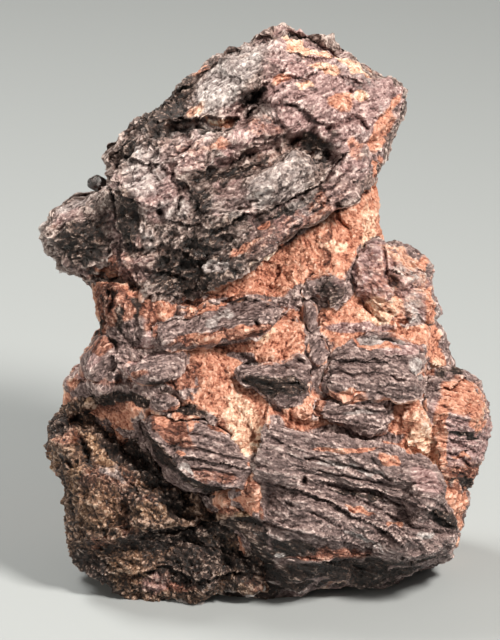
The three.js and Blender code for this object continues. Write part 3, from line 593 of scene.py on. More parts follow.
# Colour patches on the face that faces the viewer: centre (x, v), half sizes, turn in degrees, strength. Some dark ones
# are painted shade and some pale, cream and pink ones painted highlights, as said above them
PATCHES = {
    "upper_mass": {
        "stain": [
            (11.5, 76.5, 2.1, 1.6, 0), (17.2, 72.4, 4.2, 1.2, 62), (19.8, 76.6, 2, 0.6, 62), (-6.8, 70, 1.6, 0.9, 20, 0.6),
            (0.2, 58.2, 1, 0.6, 20), (-3, 54.6, 3, 0.7, 38, 0.7), (16.8, 66.6, 0.8, 2.6, 0), (2.6, 80, 1.2, 0.9, 0),
            (-24, 51, 2.4, 0.6, -20, 0.8), (13.6, 69.4, 1.4, 2.4, 20, 0.6),
        ],
        # Painted highlight: the thin cream patch at (-7, 73.9), under the slab's lower edge, is a painted glint
        "cream": [
            (6, 79, 1.8, 0.5, 0), (7, 84.2, 4, 0.8, -16), (13.4, 82.2, 4.4, 0.9, -24), (9, 81.6, 2.6, 0.6, -10),
            (14.6, 77.6, 1.4, 1, 0), (3.6, 86, 3, 0.7, -15), (-10.2, 75.6, 2, 1.1, 15, 0.6), (11, 76.2, 1, 0.8, 0, 0.7),
            (-7, 73.9, 2.4, 0.4, 0, 0.8),
        ],
        "pink": [
            (11, 78, 12, 9, 0), (-4.2, 70.4, 3.4, 1.2, 28), (13.5, 69, 4.5, 4, 0), (6, 82, 7, 5, 0),
            (-12, 68, 5, 3, 20, 0.5), (-16.5, 64, 4.5, 6.5, 10, 0.62), (-6, 68, 3, 0.7, 18, 0.8),
        ],
        "cyrtolite": [(4, 57.6, 9, 1.8, 34, 0.4), (12, 63.6, 5.6, 2.6, 36, 0.5)],
        # Painted highlights: the pale patches at (-6.6, 73.8), under the slab's lower edge, and at (-7.5, 51.3) are
        # painted glints
        "pale": [
            (-7.4, 78.4, 5, 3.6, 30, 0.75), (-6.6, 73.8, 2, 0.5, 0), (-5.7, 81.2, 1.4, 1, 0), (2, 64.3, 7.4, 3.4, 27, 0.5), (-3.6, 82.4, 4.6, 3.2, 38, 0.62), (-7.5, 51.3, 1.8, 0.9, 15, 1.2), (-15, 49.6, 1.8, 1.2, 0, 0.5),
            (-28.6, 61.4, 4.2, 1.1, 20, 0.6), (-18, 66, 3.4, 4.4, -10, 0.6), (-14, 60.4, 3.4, 2.4, 0, 0.5),
            (-17.6, 56, 1.2, 3, 20, 0.5), (-2, 84, 4, 2.4, 20, 0.5), (-10, 49, 0.8, 0.6, 0, 0.6),
        ],
        # Painted shade: the dark patches in the crevices under the slab at (-9, 72.4) and (-14, 73), in the pit at
        # (-1.6, 77.8), in the hollow at (7.4, 70), in the crevices at (-7, 65.8) and (-3, 66.4), and under the lens at
        # (4, 60.6) and (-6, 58)
        "dark": [
            (-11, 51, 7.4, 3.6, 0, 0.85), (-20.6, 59, 2, 6, 0, 0.75), (-27.5, 55.5, 4.6, 4, 0, 0.8), (-9, 72.4, 4.5, 0.8, 0),
            (7.4, 70, 3, 2, -40), (-7, 65.8, 3.4, 1, 12), (-1.6, 77.8, 2.6, 1.1, 30), (-10.4, 84, 1.6, 2.6, 50, 0.7),
            (-21, 70, 2, 3, 50, 0.85), (-6, 58, 4, 1.4, 30, 0.75), (-9, 55, 4, 2, 0, 0.8), (4, 60.6, 5, 0.7, 30, 0.85),
            (-14, 73, 4, 1.4, 36, 0.8), (-9.6, 61.4, 2, 2.6, 30, 0.7), (-3, 66.4, 5, 0.6, 30, 0.9),
        ],
        "rust": [
            (5, 59, 11, 2.0, 33, 0.8), (-11, 69.5, 4, 1.6, 10, 0.7), (1, 73.4, 4.6, 2, 10, 0.8), (-21.6, 51, 2.4, 4, 0, 0.7),
            (-13, 72, 5, 2, 30, 0.5), (6.4, 71.4, 2.6, 1, 20, 0.8),
        ],
    },
    "lower_bundle": {
        "stain": [
            (14, 15.4, 2.2, 0.5, -20), (19.5, 13.2, 1.7, 0.5, -20), (18.2, 23, 1.6, 0.8, -20),
            (12, 24.4, 5, 0.4, 0),
        ],
        "pale": [(24, 11.6, 1.2, 0.5, 0), (15, 10.8, 4, 0.4, -25), (13, 21.8, 6, 0.4, -12), (2.3, 9, 1, 0.5, 0)],
        # Painted shade: the dark patches on the underside below the ledges, in the shadow at the left end and along the
        # crevice at (14, 17.8)
        "dark": [(12, 3.4, 18, 4.4, 6), (14, 17.8, 4, 0.5, -16), (-2, 6, 4, 6, 0), (27, 14, 3, 1.4, -30),
                 (25, 6.4, 7, 2, 8), (4, 9.6, 4, 1.2, 0)],
        "rust": [(8, 9, 9, 1.2, -4, 0.8), (14, 5, 2, 1, 0)],
        "pink": [(24, 19.6, 3, 1.6, -30)],
    },
    "left_slab": {
        "stain": [(-15.6, 28.6, 1.4, 0.8, -30), (-12.4, 23.6, 0.9, 0.6, 0)],
        "rust": [(-14, 27, 4, 1.4, -30), (-8, 20.6, 5, 1, -10, 0.6)],
        "dark": [(-9, 22, 6, 2.6, -12, 0.36)],
        "pale": [(-12, 21.6, 1.4, 0.5, -30)],
    },
    "left_flank": {
        "stain": [
            (-26.5, 25.4, 2.8, 0.9, -38, 0.7), (-24.4, 22.6, 2.6, 0.8, -38, 0.7), (-28.4, 20, 1, 3, 0, 0.6),
            (-25, 15.6, 5, 4.4, 0, 0.5), (-17, 15, 3, 1.6, 0, 0.5), (-30, 30, 1.6, 1.6, 0, 0.5), (-21, 5, 4, 3, 0, 0.45),
        ],
        "rust": [(-3.4, 5, 2.2, 2.2, 0), (-5, 16.8, 4.4, 1.8, 8), (-30, 27, 2.4, 3, 0, 0.7), (-24, 18, 5, 6, 0, 0.5),
                 (-13, 3.4, 6, 2, 0, 0.7), (-6, 8, 6, 2, 0, 0.5)],
        "pale": [(-23, 21, 3, 1, -38, 0.5)],
        "pink": [(-16.5, 3.4, 3, 2, 20, 0.5)],
        # Painted shade: the dark patches in the valley at (-19, 24), under the ledge at (-12, 10.6) and on the
        # underside at (-26, 5) and (-8, 5.6)
        "dark": [(-24, 16, 7, 8, 0, 0.42), (-19, 24, 9, 3.4, -36), (-12, 10.6, 11, 2.4, 4), (-26, 5, 5, 3, -30), (-8, 5.6, 8, 4, 0),
                 (-30.6, 14, 1.2, 8, 0), (-14, 16, 2.4, 2, -30), (-32, 27, 1.4, 3, -30)],
    },
    "right_fan": {
        "stain": [(29.6, 32, 3.8, 2.8, -20), (31.8, 28.6, 1.6, 1.8, 0), (29.6, 23.4, 1.8, 0.4, -10),
                  (26.4, 27, 1.1, 6, 0, 0.85)],
        "cream": [(28.6, 33.2, 1.6, 1, 0), (32.4, 30, 0.9, 2, 0)],
        "pink": [(30, 28, 6, 6, 0)],
        "dark": [(28, 35.6, 2.4, 0.5, 0), (30, 19.2, 3.6, 1.2, 0), (29.6, 26.8, 2.8, 0.4, -12)],
        "rust": [(29.6, 21, 3.4, 2.4, 0)],
    },
    "right_knot": {
        "stain": [(20, 49.4, 8, 7, 0, 0.42), (24, 52.4, 1.4, 1.4, 0), (25, 46, 1, 3.2, 0), (20.6, 43.4, 1, 1.4, 0)],
        "cream": [(17.6, 45.4, 3.8, 2, 0), (20.6, 53.4, 4, 1.4, -20, 0.6), (25, 44.6, 0.7, 1.6, 0), (23.5, 49, 2, 2, 0, 0.45)],
        "pink": [(19.5, 49, 9, 9, 0)],
        "pale": [(22, 51, 3, 1.2, -10, 0.8), (22.4, 45, 1.4, 3.4, 0, 0.7)],
        "dark": [(19.2, 49.4, 0.9, 1.4, 0, 0.7)],
    },
    "upper_left_blade": {
        "stain": [(-3, 42.6, 1.4, 0.6, 0), (-9, 41, 3, 0.5, 0)],
        "rust": [(-6, 41.6, 9, 0.9, 10)],
        "pale": [(-7, 44, 2.6, 0.6, 25)],
    },
    # Painted light: the pink strip above the crest is a painted highlight on the blade's top, the dark strip below it
    # painted shade on its front
    "lower_left_blade": {"rust": [(-20, 35.4, 3, 0.7, 8, 0.8)], "dark": [(-14.4, 35, 3.4, 0.5, 8, 0.8)],
                         "pink": [(-17, 38.4, 3, 0.5, 8, 0.8)]},
    "left_edge_crystal": {"pink": [(-26, 37.4, 1.4, 0.8, 50)], "rust": [(-24.4, 39.6, 2, 1.2, 40, 0.8)]},
    "neck_crystal": {"dark": [(10, 48, 2.4, 2.2, 0, 0.6)], "pink": [(11, 49, 0.8, 0.8, 0, 0.7)]},
    # Painted light on the blade's top face (the pale strips) and painted shade on its front face (the dark patch)
    "centre_blade": {"pale": [(-1, 37.2, 5, 0.5, 0), (4, 38.2, 3, 0.5, 15)], "dark": [(1, 34, 6, 1.4, 0)]},
    "right_blade": {
        # The pale strip at (17, 40.6) is painted light on the blade's top face
        "pale": [(17, 40.6, 6, 0.6, 0), (22.8, 36.4, 1.2, 1.8, 0)],
        "stain": [(16.5, 39.8, 4, 0.4, -8), (12, 32.9, 3, 0.4, 5)],
        "pink": [(20, 40, 4, 1.6, 0)],
    },
    "lower_blade": {"stain": [(13.6, 31.6, 2.4, 0.4, 0)], "pale": [(14, 30, 3, 0.3, 0)]},
    "feldspar_matrix": {
        "cream": [
            (-3.4, 28, 2.6, 5, 20), (24, 24.6, 2.2, 3.4, 35), (23.6, 28.6, 2.4, 3, 0, 0.5), (17.4, 45.2, 3.8, 2.2, 0), (10.4, 54.8, 1.6, 0.9, 0), (15.4, 57, 1.2, 5, 0),
            (-1, 42, 2.4, 1.4, 0), (25.6, 37, 1.2, 1, 0),
        ],
        "cyrtolite": [
            (8.6, 36.6, 2.2, 4.4, 0), (15, 32.2, 8, 0.9, 0), (23, 36.2, 1.6, 3, 0), (-21, 41.4, 4, 2.2, 30),
            (-18, 33, 7, 1.5, -6), (13, 26.6, 7, 1.2, -6), (1.5, 28.5, 1.1, 1.7, 0), (2.2, 31.8, 1.2, 1, 0),
            (5.4, 47.2, 2.4, 1.3, 0), (-12, 33, 2, 0.5, 20), (13.6, 51.4, 1.4, 2.4, -20), (-25.6, 33, 4, 1.3, 0),
            (4, 25.2, 4, 1.1, -4), (-3.4, 38.2, 2.6, 0.6, 0), (-20, 38, 5, 1.6, 8), (-13, 40, 3.4, 1, 12),
            (-24, 35.6, 3, 1.2, 10, 0.8), (-15, 38.8, 3.4, 1.6, 10, 0.8), (13.4, 50.6, 1.6, 2.8, -10),
            (-10.4, 33.6, 0.4, 2.4, 0), (18.6, 26.2, 2.6, 1, -6), (-1.4, 22, 0.9, 3.6, 18),
        ],
        # Painted shade: the dark patch at (-2, 4), at the bottom below the bundle
        "dark": [
            (-16, 31.4, 8, 0.9, -12), (-24, 32, 4, 1, 0), (-2, 4, 8, 6, 0), (-23.2, 40.4, 1, 0.8, 0),
            (-20, 50, 4, 1.2, 0), (-23.6, 47, 1.2, 4, 0, 0.5), (-19.4, 47, 0.6, 3.4, 8), (-21.6, 44, 0.6, 2.6, 0),
            (-25, 42.6, 1, 2, 0), (-21.4, 46, 4.4, 4.6, 0, 0.36),
        ],
        "rust": [
            (6.8, 59, 8.4, 1.3, 38), (-21, 46, 5.4, 5.6, 0), (-18, 36, 9, 4, -6), (-24, 33, 5, 3, 0),
            (-8, 46.8, 7, 0.7, 4), (14, 26.4, 6, 1.2, -5), (-14, 41.6, 9, 3, 8), (9.4, 55, 0.8, 3.4, 0),
            (19, 32, 4, 0.8, 0),
        ],
        "pink": [(-26, 38, 4, 3.4, 45), (5, 46.6, 2, 1, 0), (14, 42.6, 6, 0.9, 0), (-17, 41, 4, 1.2, 10)],
    },
}
TINTS = ("rust", "pink", "cyrtolite", "dark", "pale", "cream", "stain")


# How strongly the scattered patches of the sides and the back show
SCATTER = {"cream": 0.6, "pale": 0.7, "dark": 0.9}


def patch(points, centre_x, centre_v, half_width, half_height, turn, strength=1):
    """The strength of a patch inside it, fading to 0 at its edge."""
    a = math.radians(turn)
    x = points[:, 0] - centre_x
    v = points[:, 1] - centre_v
    along = (x * math.cos(a) + v * math.sin(a)) / half_width
    up = (v * math.cos(a) - x * math.sin(a)) / half_height
    return strength * (1 - step(0.55, 1.35, np.hypot(along, up)))


# What shows where crystals and feldspar meet: the tint, how far it reaches in mm and how often it shows
MARGIN_OF_CRYSTAL = {"stain": (1.1, 0.2), "rust": (1.5, 0.2)}
MARGIN_OF_FELDSPAR = {"cyrtolite": (1.1, 0.1), "rust": (1.6, 0.3)}
# Tints that also show in a fine scatter over the front of a piece
CLOUDS = {
    "upper_mass": {"rust": 0.42, "pink": 0.5, "dark": 0.5, "pale": 0.42},
    "left_flank": {"stain": 0.37, "rust": 0.44, "dark": 0.5},
}


# Painted shade: places painted dark on every side, with few other tints, where the stone lies in shade under edges and
# overhangs and in hollows
PAINTED_SHADE_PLACES = {
    "lower_bundle": [(-3.4, 8, 4.6, 8, 0, 0.95)],
    "left_flank": [(-18, 23.2, 8, 2.6, -36, 0.6), (-30, 29, 3.6, 4, -40, 0.42)],
    "left_slab": [(-15.2, 23.2, 4.6, 1.2, -50, 0.9), (-9.4, 18.6, 4, 1.1, -18, 0.9), (-3.5, 17.6, 3.6, 0.9, -3, 0.9)],
    "upper_mass": [(-12.8, 50.4, 4, 3.6, 6, 0.6), (-15, 77, 3.4, 7, -38, 0.8), (-26, 56, 2.6, 4, 0, 0.6)],
}


def tint_of(node, name, points, frontal, rim, seed):
    """How much of a tint shows at each point: placed patches in front, scattered ones elsewhere, and painted shade at
    the shaded places.
    """
    ragged = points + np.column_stack([noise(points, 1.3, 41 + k) for k in range(3)]) * 0.6
    placed = np.zeros(len(points))
    for shape in PATCHES.get(node, {}).get(name, []):
        placed = np.maximum(placed, patch(ragged, *shape))
    margins = MARGIN_OF_FELDSPAR if node == "feldspar_matrix" else MARGIN_OF_CRYSTAL
    if name in margins and not (node in ("upper_mass", "lower_bundle") and name == "stain"):
        reach, rarity = margins[name]
        here = step(rarity - 0.2, rarity + 0.2, noise(ragged, 2.1, seed + 9))
        placed = np.maximum(placed, here * (1 - step(0.6 * reach, 1.2 * reach, rim)))
    cloud = CLOUDS.get(node, {}).get(name, 0)
    if cloud:
        placed = np.maximum(placed, cloud * step(-0.05, 0.3, cloudy(ragged, (5, 3.4, 5), seed + 31)))
    scattered = SCATTER.get(name, 1) * step(0.12, 0.55, cloudy(points, 11, seed, 4))
    if name == "stain" and node in BLADES:
        scattered = 0.36 + 0.5 * noise(points, 2.0, seed)
    if name == "cyrtolite" and node == "feldspar_matrix":
        scattered = plates(points)
    tint = placed * frontal + scattered * (1 - frontal)
    # Painted shade: at these places the dark tint grows and the other tints fade
    for shape in PAINTED_SHADE_PLACES.get(node, []):
        shaded = patch(ragged, *shape)
        tint = np.maximum(tint, shaded) if name == "dark" else tint * (1 - shaded)
    return tint


def put(mesh, name, values, kind="FLOAT"):
    """Keeps a value of each point with the mesh, for its material."""
    attribute = mesh.attributes.new(name, kind, "POINT")
    key = "vector" if kind == "FLOAT_VECTOR" else "value"
    attribute.data.foreach_set(key, np.ascontiguousarray(values, np.float32).ravel())


def dress(node, material, seed, neighbours):
    """The finished piece of one CAD piece. neighbours is the surface of what it meets."""
    spacing = SPACING.get(node, FINE_SPACING)
    piece = fine_copy(node, spacing)
    skin = Skin(piece.data)
    skin.points = skin.spread_all(skin.points, 10)
    skin.points = settled(node, skin.points, skin.outward())
    skin.points = bent(skin.points)
    facing = skin.spread_all(skin.outward(), 6)
    facing /= np.linalg.norm(facing, axis=1)[:, None]
    frontal = step(0.0, 0.45, -facing[:, 2])
    look = GRAINS[node]
    axes = grain_axes(look["angle"], look["dip"])
    grain = grain_of(skin.points, axes, seed, look.get("bend", 0.5))
    rim = distances(skin.points, neighbours)
    if node == "feldspar_matrix":
        out = crumbly(grain, skin.points, look["ribs"], seed)
        out += (0.6 * plates(skin.points) + 0.7 * facets(skin.points, 9, seed + 5, 2.0)) * (1 - frontal)
    else:
        out = broken(grain, skin.points, look["chip"], look["height"], look["ribs"], look.get("glassy", 0), seed)
    for calm in CALM.get(node, []):
        out *= 1 - patch(skin.points, *calm)
    out *= 1 - BACK_CALM * step(0.2, 0.8, facing[:, 2])
    if node in BLADES:
        rise = facets(skin.points, (3.4, 2.2, 2.2), seed + 7, 2.0)
        out += (0.2 + 0.55 * rise) * (1 - frontal)
    base = skin.points.copy()
    skin.points = base + facing * (out + 1.1 * GAP)[:, None]
    lip = (1 - step(0.5, 1.7, rim)) * frontal
    skin.points[:, 2] -= lip * (0.35 + 0.6 * noise(base, 1.9, seed + 8))
    away, along = marks_of(node, base, frontal)
    skin.points[:, 2] += away
    skin.points[:, 1] += along
    row = to_row(skin.points)
    row[:, 2] = np.maximum(row[:, 2], FLAT_FOOT)
    skin.points = to_face(row)
    normal = skin.outward()
    # Painted shade and light: hollows of the surface are painted darker and ridges lighter, by how deep each point lies
    hollow = np.zeros(skin.count)
    for times, share in ((3, 1.0), (14, 0.7), (50, 0.35)):
        away = skin.spread_all(skin.points, times) - skin.points
        hollow += share * (away * normal).sum(axis=1) / (spacing * math.sqrt(times))
    mesh = piece.data
    mesh.vertices.foreach_set("co", row.ravel())
    put(mesh, "grain", grain, "FLOAT_VECTOR")
    put(mesh, "relief", np.clip(0.5 - 0.9 * hollow, 0, 1))
    for k, name in enumerate(TINTS):
        put(mesh, name, tint_of(node, name, base, frontal, rim, 300 + 17 * k))
    mesh.update()
    mesh.shade_smooth()
    mesh.set_sharp_from_angle(angle=math.radians(32))
    mesh.materials.append(material)
    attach(piece, "root")
    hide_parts(node)
    return piece


def linear(colour):
    """An sRGB hex colour as the linear colour that shaders use."""
    parts = [int(colour[k:k + 2], 16) / 255 for k in (1, 3, 5)]
    return [c / 12.92 if c <= 0.04045 else ((c + 0.055) / 1.055) ** 2.4 for c in parts] + [1]


# The sockets of a colour mix node
FACTOR, FIRST, SECOND, MIXED = 0, 6, 7, 2


def add(tree, kind, settings=None, links=None):
    """Adds a node. Settings go to its inputs by name or number, or to the node itself."""
    made = tree.nodes.new(kind)
    for name, value in (settings or {}).items():
        if name == "tones":
            points = made.color_ramp.elements
            while len(points) < len(value):
                points.new(0.5)
            for point, (place, colour) in zip(points, value):
                point.position = place
                point.color = linear(colour)
        elif isinstance(name, int) or name in made.inputs:
            made.inputs[name].default_value = value
        else:
            setattr(made, name, value)
    for name, socket in (links or {}).items():
        tree.links.new(socket, made.inputs[name])
    return made


def total(tree, *parts):
    """Adds up sockets, each times its share."""
    so_far = None
    for socket, share in parts:
        made = add(tree, "ShaderNodeMath", {"operation": "MULTIPLY_ADD", 1: share, 2: 0.0}, {0: socket})
        if so_far:
            tree.links.new(so_far, made.inputs[2])
        so_far = made.outputs[0]
    return so_far


def stained(tree, colour, tint, raggedness, tones, fine):
    """Lays a tint over a colour where its patch and the fine noise say so."""
    spread = add(tree, "ShaderNodeAttribute", {"attribute_name": tint})
    amount = total(tree, (spread.outputs["Fac"], 1.0), (raggedness, 0.9))
    mask = add(tree, "ShaderNodeMapRange", {"From Min": 0.78, "From Max": 1.12}, {"Value": amount})
    over = add(tree, "ShaderNodeValToRGB", {"tones": tones}, {"Fac": fine})
    mix = add(tree, "ShaderNodeMix", {"data_type": "RGBA"},
              {FACTOR: mask.outputs[0], FIRST: colour, SECOND: over.outputs[0]})
    return mix.outputs[MIXED]


FELDSPAR_TONES = [
    (0.06, "#5e3024"), (0.24, "#955a45"), (0.42, "#bf8067"), (0.58, "#d0967d"), (0.76, "#e0a98f"), (0.94, "#f0cdb8")]
CREAM_TONES = [(0.06, "#86563f"), (0.26, "#c08c74"), (0.46, "#e2b398"), (0.66, "#f2d1b5"), (0.9, "#fceedb")]
PINK_TONES = [(0.06, "#422b2a"), (0.28, "#7e5f5d"), (0.5, "#9f8280"), (0.72, "#bea09d"), (0.94, "#e6d1cb")]
# Also painted highlights, where pale patches stand for glints and lit top faces
PALE_TONES = [(0.06, "#463a38"), (0.28, "#7e7371"), (0.5, "#a69c9a"), (0.74, "#c6bfbc"), (0.94, "#e6e0dd")]
# Also painted shade, where dark patches lie in crevices, hollows, under ledges and on undersides
DARK_TONES = [(0.1, "#060302"), (0.36, "#170d09"), (0.62, "#2d1d17"), (0.8, "#513d34"), (0.95, "#a08f85")]
RUST_TONES = [(0.06, "#1e0b06"), (0.32, "#4c261a"), (0.54, "#784736"), (0.78, "#a6735f"), (0.95, "#d4aa96")]
TAN_TONES = [(0.08, "#1a0f08"), (0.34, "#553a28"), (0.56, "#856449"), (0.78, "#ac8a6e"), (0.94, "#d6bca2")]
CYRTOLITE_TONES = [
    (0.04, "#2a1b19"), (0.22, "#4b3937"), (0.42, "#6c5a58"), (0.6, "#897572"), (0.78, "#a8938e"), (0.95, "#dac8c2")]
TINT_TONES = {"rust": RUST_TONES, "pink": PINK_TONES, "cyrtolite": CYRTOLITE_TONES, "dark": DARK_TONES,
              "pale": PALE_TONES, "cream": CREAM_TONES, "stain": FELDSPAR_TONES}
# The shares of the painted cavity shading (painted shade in hollows, painted light on ridges) and of single grains in a
# surface's tone, and how far the tone spreads
PAINTED_CAVITY_SHADING_SHARE = 0.42
GRAIN_SHARE = 0.3
TONE_SPREAD = 0.33
# The depth of the bump in mm, and how steeply the tiny facets of the grains lean
BUMP_DEPTH = 0.3
FACET_SLOPE = 1.1


def stone(name, tones, streaks, speckles, flake, ior, shine, tint_tones=TINT_TONES):
    """A broken mineral surface. streaks and speckles are (size in mm, share in the tone).

    flake is how long the speckles are along, across and through the grain, in parts of their size.
    """
    material = bpy.data.materials.new(name)
    material.use_nodes = True
    tree = material.node_tree
    tree.nodes.clear()
    grain = add(tree, "ShaderNodeAttribute", {"attribute_name": "grain"})
    relief = add(tree, "ShaderNodeAttribute", {"attribute_name": "relief"})
    place = add(tree, "ShaderNodeTexCoord").outputs["Object"]
    streak_width, streak_share = streaks
    speckle_size, speckle_share = speckles
    stretch = add(tree, "ShaderNodeMapping", {"Scale": (0.16 / streak_width, 0.7 / streak_width, 1 / streak_width)},
                  {"Vector": grain.outputs["Vector"]})
    streak = add(tree, "ShaderNodeTexNoise", {"Scale": 1.0, "Detail": 5.0, "Roughness": 0.62},
                 {"Vector": stretch.outputs[0]})
    flakes = add(tree, "ShaderNodeMapping", {"Scale": [1 / (speckle_size * part) for part in flake]},
                 {"Vector": grain.outputs["Vector"]}).outputs[0]
    speckle = add(tree, "ShaderNodeTexNoise", {"Scale": 1.0, "Detail": 4.0, "Roughness": 0.7}, {"Vector": flakes})
    ragged = add(tree, "ShaderNodeTexNoise", {"Scale": 1 / (1.3 * MM), "Detail": 6.0, "Roughness": 0.75},
                 {"Vector": place})
    cell = add(tree, "ShaderNodeTexVoronoi", {"Scale": 1.0}, {"Vector": flakes})
    grey = add(tree, "ShaderNodeSeparateColor", None, {"Color": cell.outputs["Color"]})
    offset = add(tree, "ShaderNodeVectorMath", {"operation": "SUBTRACT"}, {0: flakes, 1: cell.outputs["Position"]})
    lean = add(tree, "ShaderNodeVectorMath", {"operation": "SUBTRACT", 1: (0.5, 0.5, 0.5)}, {0: cell.outputs["Color"]})
    facet = add(tree, "ShaderNodeVectorMath", {"operation": "DOT_PRODUCT"}, {0: offset.outputs[0], 1: lean.outputs[0]})
    # The tone takes in the painted cavity shading: darker in hollows, lighter on ridges
    shade = total(tree, (streak.outputs["Fac"], streak_share), (speckle.outputs["Fac"], speckle_share),
                  (relief.outputs["Fac"], PAINTED_CAVITY_SHADING_SHARE), (grey.outputs[0], GRAIN_SHARE))
    usual = 0.5 * (streak_share + speckle_share + PAINTED_CAVITY_SHADING_SHARE + GRAIN_SHARE)
    spread = add(tree, "ShaderNodeMapRange", {"From Min": usual - TONE_SPREAD, "From Max": usual + TONE_SPREAD},
                 {"Value": shade})
    tone = spread.outputs[0]
    base = add(tree, "ShaderNodeValToRGB", {"tones": tones}, {"Fac": tone})
    colour = base.outputs[0]
    for tint, over in tint_tones.items():
        colour = stained(tree, colour, tint, ragged.outputs["Fac"], over, tone)
    gloss = add(tree, "ShaderNodeMapRange", {"From Min": 0.6, "From Max": 0.95, "To Min": shine[1], "To Max": shine[0]},
                {"Value": grey.outputs[2]})
    height = total(tree, (streak.outputs["Fac"], streak_share), (speckle.outputs["Fac"], 0.9), (grey.outputs[1], 0.3),
                   (facet.outputs["Value"], FACET_SLOPE * speckle_size / BUMP_DEPTH))
    bump = add(tree, "ShaderNodeBump", {"Strength": 1.0, "Distance": BUMP_DEPTH * MM}, {"Height": height})
    shader = add(tree, "ShaderNodeBsdfPrincipled", {"IOR": ior},
                 {"Base Color": colour, "Roughness": gloss.outputs[0], "Normal": bump.outputs[0]})
    add(tree, "ShaderNodeOutputMaterial", None, {"Surface": shader.outputs[0]})
    return material


def striated_cyrtolite():
    """Metamict cyrtolite broken along its growth: brown-black ribs with a resinous, greyish pink sheen."""
    return stone("metamict_cyrtolite_striated", CYRTOLITE_TONES, (0.7, 0.72), (0.33, 0.52), (1.35, 1, 0.85), 1.6,
                 (0.25, 0.75))


def speckled_cyrtolite():
    """Weathered cyrtolite with pale alteration grains about half a millimetre across, between dark ones."""
    tones = [(0.06, "#120907"), (0.24, "#3a2a25"), (0.42, "#64524c"), (0.58, "#85736d"), (0.76, "#a5948d"),
             (0.94, "#cfc2bb")]
    return stone("altered_cyrtolite_speckled", tones, (0.8, 0.9), (0.38, 1.0), (1.25, 1, 0.85), 1.65, (0.16, 0.66))


def brown_cyrtolite():
    """Cyrtolite under a skin of iron oxide: near black with rust grains and dull, pitted faces."""
    tones = [(0.08, "#090403"), (0.3, "#1f120c"), (0.5, "#432d20"), (0.66, "#664b3a"), (0.82, "#8c705c"),
             (0.96, "#bda392")]
    tan = dict(TINT_TONES, stain=TAN_TONES)
    return stone("iron_skinned_cyrtolite", tones, (1.2, 0.3), (0.4, 1.3), (1, 1, 1), 1.6, (0.22, 0.8), tan)


def stained_feldspar():
    """Coarse potassium feldspar stained by iron: sugary orange grains 0.3 to 0.6 mm across, cream where fresh."""
    cream = dict(TINT_TONES, pale=CREAM_TONES)
    return stone("iron_stained_feldspar", FELDSPAR_TONES, (1.5, 0.3), (0.36, 0.95), (1, 1, 1), 1.53,
                 (0.3, 0.85), cream)


def dark_glass():
    """A small resinous zircon crystal, nearly black and smooth enough to catch a highlight."""
    tones = [(0.3, "#0c0706"), (0.7, "#241310"), (1.0, "#5a3a30")]
    return stone("resinous_zircon_crystal", tones, (0.5, 0.4), (0.5, 0.3), (1, 1, 1), 1.92, (0.12, 0.35))


def dress_bead(material):
    """The small crystal over the horn: its twelve faces keep their places, with worn edges."""
    piece = fine_copy("bead_crystal", 0.1)
    skin = Skin(piece.data)
    skin.points = skin.spread_all(skin.points, 5)
    skin.points = skin.points + skin.outward() * (0.8 * GAP + 0.04 * cloudy(skin.points, 0.7, 5))[:, None]
    centre = np.array([BEAD_CENTRE])
    skin.points = skin.points + bent(centre) - centre + np.array([0.6, -0.35, -2.0])
    mesh = piece.data
    mesh.vertices.foreach_set("co", to_row(skin.points).ravel())
    put(mesh, "grain", skin.points, "FLOAT_VECTOR")
    put(mesh, "relief", np.full(skin.count, 0.5))
    for name in TINTS:
        put(mesh, name, np.zeros(skin.count))
    mesh.shade_smooth()
    mesh.materials.append(material)
    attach(piece, "root")
    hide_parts("bead_crystal")
    return piece


def dress_all():
    striated = striated_cyrtolite()
    special = {
        "upper_mass": (speckled_cyrtolite(), "speckled_cyrtolite"),
        "left_flank": (brown_cyrtolite(), "brown_cyrtolite"),
        "feldspar_matrix": (stained_feldspar(), "iron_stained_feldspar"),
    }
    feldspar = surface_of(["feldspar_matrix"])
    crystals = surface_of([node for node in GRAINS if node != "feldspar_matrix"])
    for order, node in enumerate(GRAINS):
        material, slot = special.get(node, (striated, "striated_cyrtolite"))
        neighbours = crystals if node == "feldspar_matrix" else feldspar
        dress(node, material, 1000 + 137 * order, neighbours)
    dress_bead(dark_glass())


# The camera looks along the face's depth, far enough away for a nearly parallel view
PICTURE_HEIGHT = 96.0
LOOK_AT = (-2.25, 43.8, 9.0)
CAMERA_DISTANCE = 900.0
SENSOR = 36.0


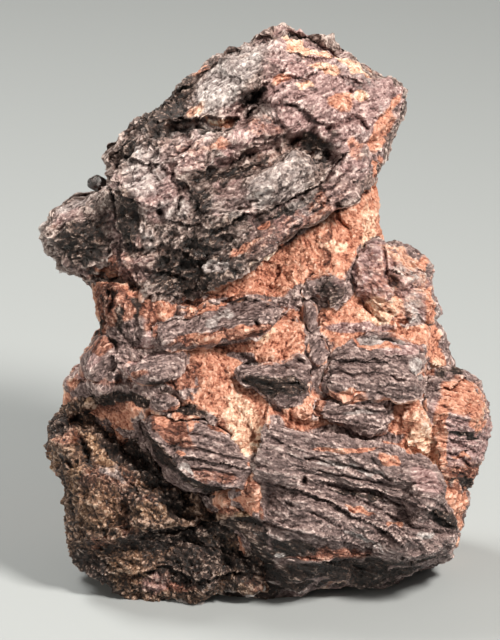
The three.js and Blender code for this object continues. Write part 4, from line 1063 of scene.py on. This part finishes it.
def place_camera():
    camera = bpy.data.objects.new("Camera", bpy.data.cameras.new("Camera"))
    bpy.context.scene.collection.objects.link(camera)
    camera.data.sensor_width = SENSOR
    camera.data.lens = SENSOR * CAMERA_DISTANCE / PICTURE_HEIGHT
    camera.data.clip_start = 0.01
    camera.data.clip_end = 20
    x, v, d = LOOK_AT
    camera.location = to_row(np.array([[x, v, d - CAMERA_DISTANCE]]))[0]
    camera.rotation_euler = (math.radians(90) - LEAN, 0, 0)
    bpy.context.scene.camera = camera


def light(name, place, size, power, colour):
    """A square softbox at a place of the row frame, in mm, aimed at the middle of the stone."""
    lamp = bpy.data.lights.new(name, "AREA")
    lamp.size = size * MM
    lamp.energy = power
    lamp.color = linear(colour)[:3]
    holder = bpy.data.objects.new(name, lamp)
    bpy.context.scene.collection.objects.link(holder)
    holder.location = Vector(place) * MM
    aim = Vector((0, 0, 42)) * MM - holder.location
    holder.rotation_euler = aim.to_track_quat("-Z", "Y").to_euler()


def place_lights():
    light("key_softbox", (260, -260, 420), 110, 4.5, "#fff3e9")
    light("left_fill", (-420, -300, 160), 300, 0.65, "#fff1e4")
    light("top_left_rim", (-200, 160, 380), 160, 1.6, "#fff6ee")
    world = bpy.data.worlds.new("studio")
    world.use_nodes = True
    world.node_tree.nodes["Background"].inputs["Color"].default_value = linear("#d8d0c8")
    world.node_tree.nodes["Background"].inputs["Strength"].default_value = 0.27
    bpy.context.scene.world = world


def lay_floor():
    """A plain pale floor of painted board, not part of the object."""
    half = 3.0
    mesh = bpy.data.meshes.new("floor")
    mesh.from_pydata([(-half, -half, 0), (half, -half, 0), (half, half, 0), (-half, half, 0)], [], [(0, 1, 2, 3)])
    floor = bpy.data.objects.new("floor", mesh)
    bpy.context.scene.collection.objects.link(floor)
    material = bpy.data.materials.new("pale_painted_board")
    material.use_nodes = True
    tree = material.node_tree
    tree.nodes.clear()
    shader = add(tree, "ShaderNodeBsdfPrincipled", {"Base Color": linear("#a4adb0"), "Roughness": 0.75})
    add(tree, "ShaderNodeOutputMaterial", None, {"Surface": shader.outputs[0]})
    mesh.materials.append(material)


dress_all()
lay_floor()
place_lights()
place_camera()
bpy.context.scene.view_settings.view_transform = "Standard"
